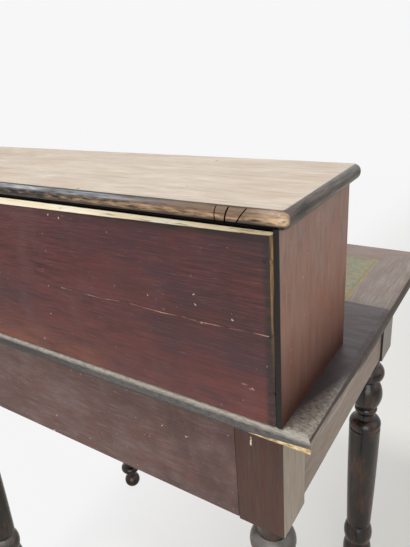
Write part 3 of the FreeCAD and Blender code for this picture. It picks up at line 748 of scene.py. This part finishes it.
# %% Desk top: three finishes
# Dark stain under dust, darkened as painted shade of the case: brown-black, dull, with grit that catches
# the light.
rear_board = desk_top_finish("dark_stained_pine_with_painted_shade", "X", ("#3c3133", "#58494c", "#6b5c5d"), "#3b2f31", 1.0)
# Stain rubbed thin by sleeves: grey brown with a silky gloss.
frame_stile = desk_top_finish("rubbed_pine_stile", "Y", ("#6a5e53", "#84776c", "#94887d"), "#77615c", 0.6)
frame_rail = desk_top_finish("rubbed_pine_rail", "X", ("#6c5b52", "#857065", "#968176"), "#7a6158", 0.6)

# %% [markdown]
# ## Apron and side rails
# Below the top the wood is a dusty mauve brown with fine scratches, and blotched darker towards the
# ends of the apron. The side rails are plainer: sun and dust have turned them grey brown. Blotches
# could be painted by hand, but broad marks that fade in towards the ends look the same and need no
# picture.

# %% Apron and side rails
# Scuffed stain: a dusty mauve brown, scratched along the grain.
apron, colour = wood("scuffed_stained_pine", "X", ("#402b28", "#523937", "#634b47"), (0.44, 0.66),
                     figure_width=8.0, pore_depth=0.4, reflection=0.4)
tree = apron.node_tree
place = add(tree, "ShaderNodeTexCoord").outputs["Object"]
# dusty patches, scratches and what is left of the red
colour = coat(tree, colour, "#6f5d5a", marks(tree, "X", (22, 40), 9.0, (0.44, 0.68), most=0.4))
colour = coat(tree, colour, "#826f6b", marks(tree, "X", (1.2, 26), 39.0, (0.55, 0.68), most=0.5))
colour = coat(tree, colour, "#54312b", marks(tree, "X", (14, 40), 19.0, (0.46, 0.64), most=0.7))
blotches = marks(tree, "Z", (30, 50), 29.0, (0.42, 0.6), most=0.6)
colour = coat(tree, colour, "#35211f", blotches, fade(tree, place, "X", 0.03, 0.16, both_ways=True))
colour = coat(tree, colour, "#796865", flecks(tree, 7, 0.9, 9.0))
colour = coat(tree, colour, "#9f928c", flecks(tree, 30, 2.0, 4.0))
last_coat(apron, colour)

# Greyed pine: weathered and even, with a low gloss.
side_rail, colour = wood("greyed_pine", "Y", ("#695a50", "#847367", "#958579"), (0.45, 0.65),
                         figure_width=7.0)
last_coat(side_rail, colour)

# %% [markdown]
# ## The legs
# Each leg is one piece of birch. Its square head, the post, keeps a dark red stain on its back face
# and is rubbed pale on its outer face. Below the square it was turned on a lathe, ebonised and
# polished, with brown showing through where it is worn. Two materials would need the leg to be cut in
# two, so one finish covers all of it: the height tells the post from the turning.

# %% Legs: posts
# Ebonised birch: a deep black polish with sharp highlights; on the post, dull stain and bare fibres.
legs, colour = wood("ebonised_turned_birch", "Z", ("#2e1511", "#3b1d16", "#48261c"), (0.4, 0.62),
                    figure_width=8.0, pore_depth=0.3, reflection=0.4)
# place and reach in millimetres of a splinter that is missing from one post
splinter_place, splinter_reach = (-229.2, 168, 549), (0.8, 4, 5.5)

tree = legs.node_tree
place, facing = place_and_facing(tree)
colour = coat(tree, colour, "#463631", marks(tree, "Z", (7.0, 120), 8.0, (0.52, 0.66), most=0.4))
colour = coat(tree, colour, "#d9c6a4", spots(tree, [splinter_place], splinter_reach))
# faces that are rubbed at the ends, and black rear faces on the front posts
rubbed = coat(tree, "#867a6c", "#a8998a", marks(tree, "Z", (1.6, 40), 4.0, (0.36, 0.68)))
rubbed = coat(tree, rubbed, "#857e77", fade(tree, place, "Y", 0.0, -0.05))
colour = coat(tree, colour, rubbed, fade(tree, facing, "X", 0.5, 0.9, most=0.95, both_ways=True))
front_legs = fade(tree, place, "Y", -0.1, -0.12)
colour = coat(tree, colour, "#120f0e", front_legs, fade(tree, facing, "Y", 0.5, 0.9))
print("posts:", len(tree.nodes), "nodes so far")

# %% Legs: turning
# the square ends this far below the apron
shoulder = 0.002
polished, worn_through = 0.2, 0.34

post_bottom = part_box("back_apron")[0].z - shoulder
wear = marks(tree, "Z", (11, 60), 2.0, (0.45, 0.66))
black = coat(tree, "#090706", "#42261c", wear)
black = coat(tree, black, "#241e1b", marks(tree, "Z", (2.0, 20), 12.0, (0.56, 0.7), most=0.5))
# dust and a painted sheen on what faces up, on the rear legs
rear_legs = fade(tree, place, "Y", 0.09, 0.11)
black = coat(tree, black, "#6a6661", fade(tree, facing, "Z", 0.0, 0.5, most=0.75), rear_legs)
turning = fade(tree, place, "Z", post_bottom, post_bottom - 0.001)
colour = coat(tree, colour, black, turning)
smooth = add(tree, "ShaderNodeMapRange", {"Value": wear, "To Min": polished, "To Max": worn_through})
polish(legs, turning, smooth)
last_coat(legs, colour)

# %% [markdown]
# ## The sitter's side
# The drawer fronts and the rails round them have a better polish than the back, and their arrises
# are rubbed to a light brown. The arrises could be modelled and painted one by one. A bevel node
# finds them all: it gives the direction that a rounded edge would face, which differs from the real
# one only near a sharp edge.

# %% Drawer fronts
# Shellac over red stain: warm and glossy, with worn light arrises.
arris_width = 0.002
fronts, colour = wood("shellacked_stained_pine", "X", ("#4f3433", "#6d4946", "#83564f"), (0.36, 0.55))
tree = fronts.node_tree
eased = add(tree, "ShaderNodeBevel", {"Radius": arris_width}, samples=6)
flat = add(tree, "ShaderNodeNewGeometry").outputs["Normal"]
alike = add(tree, "ShaderNodeVectorMath", {0: eased, 1: flat}, operation="DOT_PRODUCT").outputs["Value"]
arris = add(tree, "ShaderNodeMapRange", {"Value": alike, "From Min": 0.985, "From Max": 0.82})
last_coat(fronts, coat(tree, colour, "#a37d55", arris))

# %% [markdown]
# ## Plain boards and knobs
# The inside of the case is stained brown, the drawers are plain pine that never saw the sun, and the
# knobs are black. One finish for all would do from afar, but grain has to run along each board. So
# these are boards of wood with nothing but their grain, one for each way that it runs.

# %% Plain boards and knobs
brown_tones = ("#5d473c", "#75594b", "#8a6c5b")
honey_tones = ("#a88b66", "#c2a57d", "#d2b892")
black_tones = ("#231f1d", "#332d2a", "#4a423c")
# name, grain, tones, roughness, width of the figure in millimetres
plain_boards = {
    # Thin brown stain: dry and even.
    "inside": ("brown_stained_pine", "X", brown_tones, (0.5, 0.7), 13.0),
    "upright": ("brown_stained_upright_pine", "Z", brown_tones, (0.5, 0.7), 13.0),
    # Planed pine: pale, honey-coloured and matt.
    "pale": ("planed_pine", "Y", honey_tones, (0.55, 0.75), 13.0),
    "pale_across": ("planed_cross_pine", "X", honey_tones, (0.55, 0.75), 13.0),
    # Ebonised knobs: black, smooth from many hands.
    "knob": ("ebonised_birch", "Y", black_tones, (0.3, 0.45), 6.0),
}
plain = {key: last_coat(*wood(*values)) for key, values in plain_boards.items()}

# %% [markdown]
# ## Iron
# The screws are iron, brown with rust. A metal in one colour would look new. Rust is duller and
# rougher than iron, so the same noise drives the colour and the roughness.

# %% Iron
# Rusted iron: a dull brown-black metal with dry patches.
iron_metallic = 0.8
iron_roughness, rust_roughness = 0.45, 0.8
# width and length of a patch in millimetres
rust_patch = (3.0, 3.0)

iron, tree, shader = start_finish("rusted_iron")
rust = streaks(tree, "X", rust_patch)
rough = add(tree, "ShaderNodeMapRange", {"Value": rust, "To Min": iron_roughness, "To Max": rust_roughness})
feed(shader, {"Metallic": iron_metallic, "Roughness": rough})
last_coat(iron, coat(tree, "#2a2624", "#5a4030", rust))

# %% [markdown]
# ## The writing leather
# A sheet of skiver, which is thin split sheepskin, is let into the frame. It was green once and is
# now grey, with yellowed patches and scuffs, and a gilt line runs along its edge. Its pebbles could
# be modelled, but they are too fine for a mesh, so a Voronoi pattern gives them in a bump. A real
# pebble is half a millimetre wide, and 1.6 mm is the finest that shows here.

# %% Leather
# Worn skiver: soft grey green, dull where it is rubbed.
pebble_width = 1.6
pebble_strength, pebble_height = 0.35, 0.0004
leather_ior = 1.5
skin_roughness, rubbed_roughness = 0.55, 0.75

leather, tree, shader = start_finish("worn_skiver_leather")
yellowed = marks(tree, "X", (9, 12), 1.0, (0.4, 0.62))
colour = coat(tree, "#7e816f", "#9b8f6c", yellowed)
colour = coat(tree, colour, "#676755", marks(tree, "X", (4.0, 7.0), 3.0, (0.5, 0.66), most=0.6))
colour = coat(tree, colour, "#b5a988", marks(tree, "X", (3.0, 4.0), 13.0, (0.56, 0.68), most=0.6))
place = add(tree, "ShaderNodeTexCoord").outputs["Object"]
pebbles = add(tree, "ShaderNodeTexVoronoi", {"Vector": place, "Scale": 1000 / pebble_width})
ridges = add(tree, "ShaderNodeBump",
             {"Height": pebbles, "Strength": pebble_strength, "Distance": pebble_height})
rough = add(tree, "ShaderNodeMapRange",
            {"Value": yellowed, "To Min": skin_roughness, "To Max": rubbed_roughness})
feed(shader, {"IOR": leather_ior, "Roughness": rough, "Normal": ridges})
last_coat(leather, colour)

# %% Gold line
# Gold leaf, worn: metal where it is left, leather where it is gone.
gold_metallic, gold_roughness = 0.6, 0.5

gilt, tree, shader = start_finish("worn_gold_leaf")
lost = marks(tree, "Y", (3.0, 12.0), 5.0, (0.5, 0.65))
shine = add(tree, "ShaderNodeMapRange", {"Value": lost, "To Min": gold_metallic, "To Max": 0.0})
feed(shader, {"Roughness": gold_roughness, "Metallic": shine})
last_coat(gilt, coat(tree, "#967434", "#7c7455", lost))

# %% [markdown]
# ## Modelling by hand
# Four boards have changed shape with age, and the leather has a line pressed into it. The drawn
# meshes are loose triangles that are hard to edit, so these pieces are modelled afresh in the place
# of the drawn ones. Each starts as a cube of the piece's own size. We then go into edit mode, pick
# vertices, edges or faces by where they are, and cut, bevel and move them as one would with the
# mouse.

# %% Start, pick and cut
millimetre = 0.001


def start_cube(name, low, high):
    """A new cube between two corners, with its place in its mesh."""
    bpy.ops.object.select_all(action="DESELECT")
    bpy.ops.mesh.primitive_cube_add(size=1)
    piece = bpy.context.object
    piece.name = name
    piece.data.name = name
    piece.scale = high - low
    piece.location = (low + high) / 2
    bpy.ops.object.transform_apply()
    return piece


def pick(piece, kind, test):
    """In edit mode, select the vertices, edges or faces whose corners all pass a test."""
    bpy.ops.object.mode_set(mode="EDIT")
    bpy.ops.mesh.select_mode(type=kind)
    bpy.ops.mesh.select_all(action="DESELECT")
    shape = bmesh.from_edit_mesh(piece.data)
    for item in {"VERT": shape.verts, "EDGE": shape.edges, "FACE": shape.faces}[kind]:
        corners = [item.co] if kind == "VERT" else [vertex.co for vertex in item.verts]
        item.select_set(all(test(corner) for corner in corners))
    shape.select_flush_mode()
    bmesh.update_edit_mesh(piece.data)


def cut_across(piece, axis, place):
    """Cut a whole piece with a plane across one axis, which leaves a loop of new edges."""
    pick(piece, "FACE", lambda point: True)
    normal = [float(axis == a) for a in "XYZ"]
    bpy.ops.mesh.bisect(plane_co=[place * n for n in normal], plane_no=normal)


print("modelling in metres, with a millimetre of", millimetre)

# %% Places and lines
# how far apart two places may be, in millimetres, and still count as one
tolerance = 0.05


def near(a, b, reach=tolerance):
    """Whether two places along one axis are no further apart than the reach, in millimetres."""
    return abs(a - b) < reach * millimetre


def follow(points, x):
    """The height of a line through (x, height) points, both in millimetres, at x."""
    for (x0, h0), (x1, h1) in zip(points[:-1], points[1:]):
        if x0 <= x <= x1:
            return h0 + (h1 - h0) * (x - x0) / (x1 - x0)
    return points[0][1] if x < points[0][0] else points[-1][1]


print("places within", tolerance, "mm count as one")

# %% Finishes on faces
# faces that meet at a smaller angle than this look like one curve
smooth_below = math.radians(35)


def lay_out(piece, *finishes):
    """Give a piece its finishes, the first of which covers it all."""
    for finish in finishes:
        piece.data.materials.append(finish)


def paint_faces(piece, finish, test):
    """Give one of a piece's finishes to the faces whose corners all pass a test."""
    pick(piece, "FACE", test)
    piece.active_material_index = piece.data.materials.find(finish.name)
    bpy.ops.object.material_slot_assign()


def complete(piece, body, node):
    """Leave edit mode, smooth the curved faces, and put the piece in the place of a drawn part."""
    bpy.ops.object.mode_set(mode="OBJECT")
    bpy.ops.object.select_all(action="DESELECT")
    piece.select_set(True)
    bpy.context.view_layer.objects.active = piece
    bpy.ops.object.shade_smooth_by_angle(angle=smooth_below)
    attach(piece, body)
    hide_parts(node)
    print(piece.name, "has", len(piece.data.polygons), "faces")


print("edges below", round(math.degrees(smooth_below)), "degrees will be smooth")

# %% [markdown]
# ## The back panel
# The upper edge of the panel is rubbed to a pale chamfer, broadest in the middle. Its ends have a
# smaller one, and a crack runs in from one side at mid height. A bump could draw the crack, but it
# would look flat from the side. Cuts across the cube give columns of vertices that can follow these
# lines, and the crack is a bevelled edge whose middle is pushed into the wood. Behind the chamfer, a
# tongue rises almost to the top board, so that no light shines through the gap.

# %% Back panel: columns and crack
# places along the panel and heights above the floor, in millimetres
crack_line = [(-258, 655.2), (-244, 655.0), (-224, 654.2), (-202, 653.4), (-185, 654.0), (-168, 653.3),
              (-155, 653.7), (-131, 654.6), (-108, 652.6), (-62, 653.5)]
# places along the panel and heights of the chamfer there, in millimetres
chamfer_line = [(-258, 1.4), (-234, 2.1), (-194, 2.5), (-157, 2.9), (-121, 3.5), (-48, 4.2), (-6, 4.7),
                (70, 4.2), (140, 3.5), (210, 2.5), (258, 1.4)]
panel_end = round(1000 * back_high.x, 1)
crack_level = 654 * millimetre
crack_width, crack_depth = 0.35, 0.8
# the panel has worn down around its nails, whose heads stand out by this much
nail_stand = 0.15

rear_face = back_high.y - nail_stand * millimetre
inner_face = back_low.y + millimetre
crack_end = crack_line[-1][0] * millimetre
panel = start_cube("case_back_panel", back_low, Vector((back_high.x, rear_face, back_high.z)))
columns = sorted({x for x, height in crack_line + chamfer_line if abs(x) < panel_end})
for x in columns:
    cut_across(panel, "X", x * millimetre)
cut_across(panel, "Z", crack_level)
print("panel with", len(columns), "columns of vertices")

# %% Back panel: crack


def on_column(p, x, z):
    """Whether a point lies on one column of vertices, at one height."""
    return near(p.x, x * millimetre, 0.5) and near(p.z, z)


def on_crack(p):
    """Whether a point lies on the line of the crack."""
    height = follow(crack_line, 1000 * p.x) * millimetre
    return near(p.y, rear_face) and p.x < crack_end + millimetre and near(p.z, height, 0.1)


for x in [-panel_end] + columns:
    pick(panel, "VERT", lambda p: on_column(p, x, crack_level) and near(p.y, rear_face))
    bpy.ops.transform.translate(value=(0, 0, follow(crack_line, x) * millimetre - crack_level))
pick(panel, "EDGE", on_crack)
bpy.ops.mesh.bevel(offset=crack_width * millimetre, segments=2, affect="EDGES")
pick(panel, "VERT", lambda p: on_crack(p) and p.x < crack_end - millimetre)
bpy.ops.transform.translate(value=(0, -crack_depth * millimetre, 0))
print("crack from", crack_line[0][0], "to", crack_line[-1][0], "mm along the panel")

# %% Back panel: chamfers and tongue
# in millimetres; rubbed_away is how much the upper edge has lost
chamfer_depth, rubbed_away = 2.5, 0.8
side_chamfer, tongue_rise = 3.0, 2.4
sliver = 0.1

upper_edge = back_high.z
chamfer_top = round(1000 * upper_edge, 1) - rubbed_away
pick(panel, "EDGE", lambda p: near(p.z, upper_edge) and near(p.y, rear_face))
bpy.ops.mesh.bevel(offset=chamfer_depth * millimetre, segments=1, affect="EDGES")
pick(panel, "VERT", lambda p: near(p.z, upper_edge) and p.y > inner_face)
bpy.ops.transform.translate(value=(0, 0, chamfer_top * millimetre - upper_edge))
tongue_face = rear_face - chamfer_depth * millimetre
tongue_foot = (chamfer_top - sliver) * millimetre
pick(panel, "FACE", lambda p: p.z > tongue_foot and p.y < tongue_face + sliver * millimetre)
bpy.ops.mesh.extrude_region_move(TRANSFORM_OT_translate={"value": (0, 0, tongue_rise * millimetre)})
chamfer_foot = upper_edge - chamfer_depth * millimetre
for x in [-panel_end] + columns + [panel_end]:
    foot_height = (chamfer_top - follow(chamfer_line, x)) * millimetre
    pick(panel, "VERT", lambda p: on_column(p, x, chamfer_foot))
    bpy.ops.transform.translate(value=(0, 0, foot_height - chamfer_foot))
pick(panel, "EDGE", lambda p: near(abs(p.x), back_high.x) and near(p.y, rear_face))
bpy.ops.mesh.bevel(offset=side_chamfer * millimetre, segments=2, affect="EDGES")
print("chamfer up to", max(height for x, height in chamfer_line), "mm high")

# %% Back panel: finishes
# how far outside a form its corners are still found, in millimetres: up or down, and in or out
height_slack, depth_slack = 0.3, 0.2


def in_chamfer(p):
    """Whether a point belongs to the chamfer."""
    foot_height = chamfer_top - follow(chamfer_line, 1000 * p.x)
    in_height = foot_height - height_slack < 1000 * p.z < chamfer_top + height_slack
    return in_height and p.y > tongue_face - depth_slack * millimetre


def in_crack(p):
    """Whether a point belongs to the crack."""
    height = follow(crack_line, 1000 * p.x)
    return p.x < crack_end and abs(1000 * p.z - height) < 1.2 * crack_width and p.y > inner_face


def in_tongue(p):
    """Whether a point belongs to the tongue above the chamfer."""
    return 1000 * p.z > chamfer_top - height_slack and p.y < tongue_face + depth_slack * millimetre


# the tongue above the chamfer takes the black of painted shade
lay_out(panel, stained, bare, split, painted_shade_black)
for finish, test in ((bare, in_chamfer), (split, in_crack), (painted_shade_black, in_tongue)):
    paint_faces(panel, finish, test)
complete(panel, "desk", "case_back")

# %% [markdown]
# ## The shape of the top board
# The corners of this board are worn round, and its edge is a full half round: a broad bevel above
# and below leaves only a millimetre of flat between them. Three short cuts in the rear edge, near its
# corner, could be drawn as dark lines, but real ones show from every side, so thin blocks are taken
# out of the board. The blocks carry the black of painted shade and leave it on the walls of their
# cuts. The underside of the rear edge gets the same painted shade.

# %% Case top board
# in millimetres
rounded_corner, nosing = 6.2, 5.5

board = start_cube("case_board", board_low, board_high)
for x in (board_low.x, board_high.x):
    for y in (board_low.y, board_high.y):
        pick(board, "EDGE", lambda p: near(p.x, x) and near(p.y, y))
        bpy.ops.mesh.bevel(offset=rounded_corner * millimetre, segments=5, affect="EDGES")
for z in (board_high.z, board_low.z):
    pick(board, "EDGE", lambda p: near(p.z, z))
    bpy.ops.mesh.bevel(offset=nosing * millimetre, segments=6, affect="EDGES")
bpy.ops.object.mode_set(mode="OBJECT")
lay_out(board, faded, painted_shade_black)
print("board with its nosing:", len(board.data.polygons), "faces")

# %% Case top board: cuts
# place along the edge and width in millimetres, and slant in degrees
cuts = [(-222, 0.7, 2), (-229.5, 1.1, 14), (-239, 0.8, 36)]
blade_reach, blade_height = 6.0, 20.0

for x, width, slant in cuts:
    middle = Vector((x * millimetre, board_high.y, (board_low.z + board_high.z) / 2))
    half = Vector((width, blade_reach, blade_height)) / 2 * millimetre
    blade = start_cube("blade", middle - half, middle + half)
    lay_out(blade, faded, painted_shade_black)
    paint_faces(blade, painted_shade_black, lambda p: True)
    bpy.ops.transform.rotate(value=math.radians(slant), orient_axis="Y", center_override=middle)
    bpy.ops.object.mode_set(mode="OBJECT")
    cutting = board.modifiers.new("cut", "BOOLEAN")
    cutting.object = blade
    cutting.solver = "EXACT"
    bpy.context.view_layer.objects.active = board
    bpy.ops.object.modifier_apply(modifier="cut")
    bpy.data.objects.remove(blade)
print("board with its cuts:", len(board.data.polygons), "faces")

# %% Case top board: underside
dull_top = board_low.z + (nosing / 2 + sliver) * millimetre
straight_end = board_high.x - (rounded_corner - sliver) * millimetre

# painted shade on the underside of the rear edge, behind the panel
paint_faces(board, painted_shade_black, lambda p: p.z < dull_top and p.y > back_low.y and abs(p.x) < straight_end)
complete(board, "desk", "case_top_board")

# %% [markdown]
# ## The side rails
# The rails have shrunk, and the posts now stand a little proud of them, with a dark line of shadow at
# the joint. A painted line would stay the same in any light, so the step is real: each rail is a cube
# between two posts whose outer face is set back, and whose lower arris is eased with a small bevel.

# %% Side rails
# in millimetres
rail_setback, eased_arris = 2.7, 1.2

for end in ("left", "right"):
    rail_low, rail_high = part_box("side_rail_" + end)
    rail_low.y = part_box("leg_front_" + end)[1].y
    rail_high.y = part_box("leg_rear_" + end)[0].y
    outer = rail_low if rail_low.x < 0 else rail_high
    outer.x -= math.copysign(rail_setback * millimetre, outer.x)
    rail = start_cube("table_rail_" + end, rail_low, rail_high)
    pick(rail, "EDGE", lambda p: near(p.x, outer.x) and near(p.z, rail_low.z))
    bpy.ops.mesh.bevel(offset=eased_arris * millimetre, segments=3, affect="EDGES")
    lay_out(rail, side_rail)
    complete(rail, "desk", "side_rail_" + end)

# %% [markdown]
# ## The leather sheet
# The leather is a thin sheet that lies flush with its frame. Its gold line was pressed in with a hot
# wheel. A bump could draw it, but a groove in the mesh catches light as the real one does, and its
# floor can take the gold: four insets of the upper face, of which the second goes down and the fourth
# comes up again.

# %% Leather sheet
line_depth = 0.25
# thickness and depth of each inset in millimetres: margin, wall, line, wall
insets = [(2.0, 0.0), (0.2, -line_depth), (1.8, 0.0), (0.2, line_depth)]
leather_low, leather_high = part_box("leather_inset")

sheet = start_cube("leather_sheet", leather_low, leather_high)
pick(sheet, "FACE", lambda p: near(p.z, leather_high.z))
for thickness, depth in insets:
    bpy.ops.mesh.inset(thickness=thickness * millimetre, depth=depth * millimetre)
lay_out(sheet, leather, gilt)
paint_faces(sheet, gilt, lambda p: near(p.z, leather_high.z - line_depth * millimetre))
complete(sheet, "desk", "leather_inset")

# %% [markdown]
# ## Dressing the parts
# Each drawn part takes its finish by its name: the first word of this list that the name holds
# decides. A finish for each name would be a longer list, and a part could be forgotten in it. What no
# word fits is plain pine.

# %% Give every part its finish
finish_by_word = [
    ("leg_", legs), ("knob", plain["knob"]), ("screws", iron),
    ("case_back", stained), ("case_top", faded), ("case_side", mauve),
    ("case_bottom", plain["inside"]), ("case_shelf", plain["inside"]), ("case_divider", plain["upright"]),
    ("top_rear", rear_board), ("top_stile", frame_stile), ("top_front", frame_rail), ("leather", leather),
    ("back_apron", apron), ("side_rail", side_rail),
    ("front_upper", fronts), ("front_lower", fronts), ("drawer_front", fronts),
    ("_back", plain["pale_across"]), ("_bottom", plain["pale_across"]),
    ("blocks", plain["pale_across"]), ("panel", plain["pale_across"]),
]
for name, part in parts.items():
    chosen = [finish for word, finish in finish_by_word if word in name] + [plain["pale"]]
    part.data.materials.clear()
    part.data.materials.append(chosen[0])
print("dressed", len(parts), "parts")
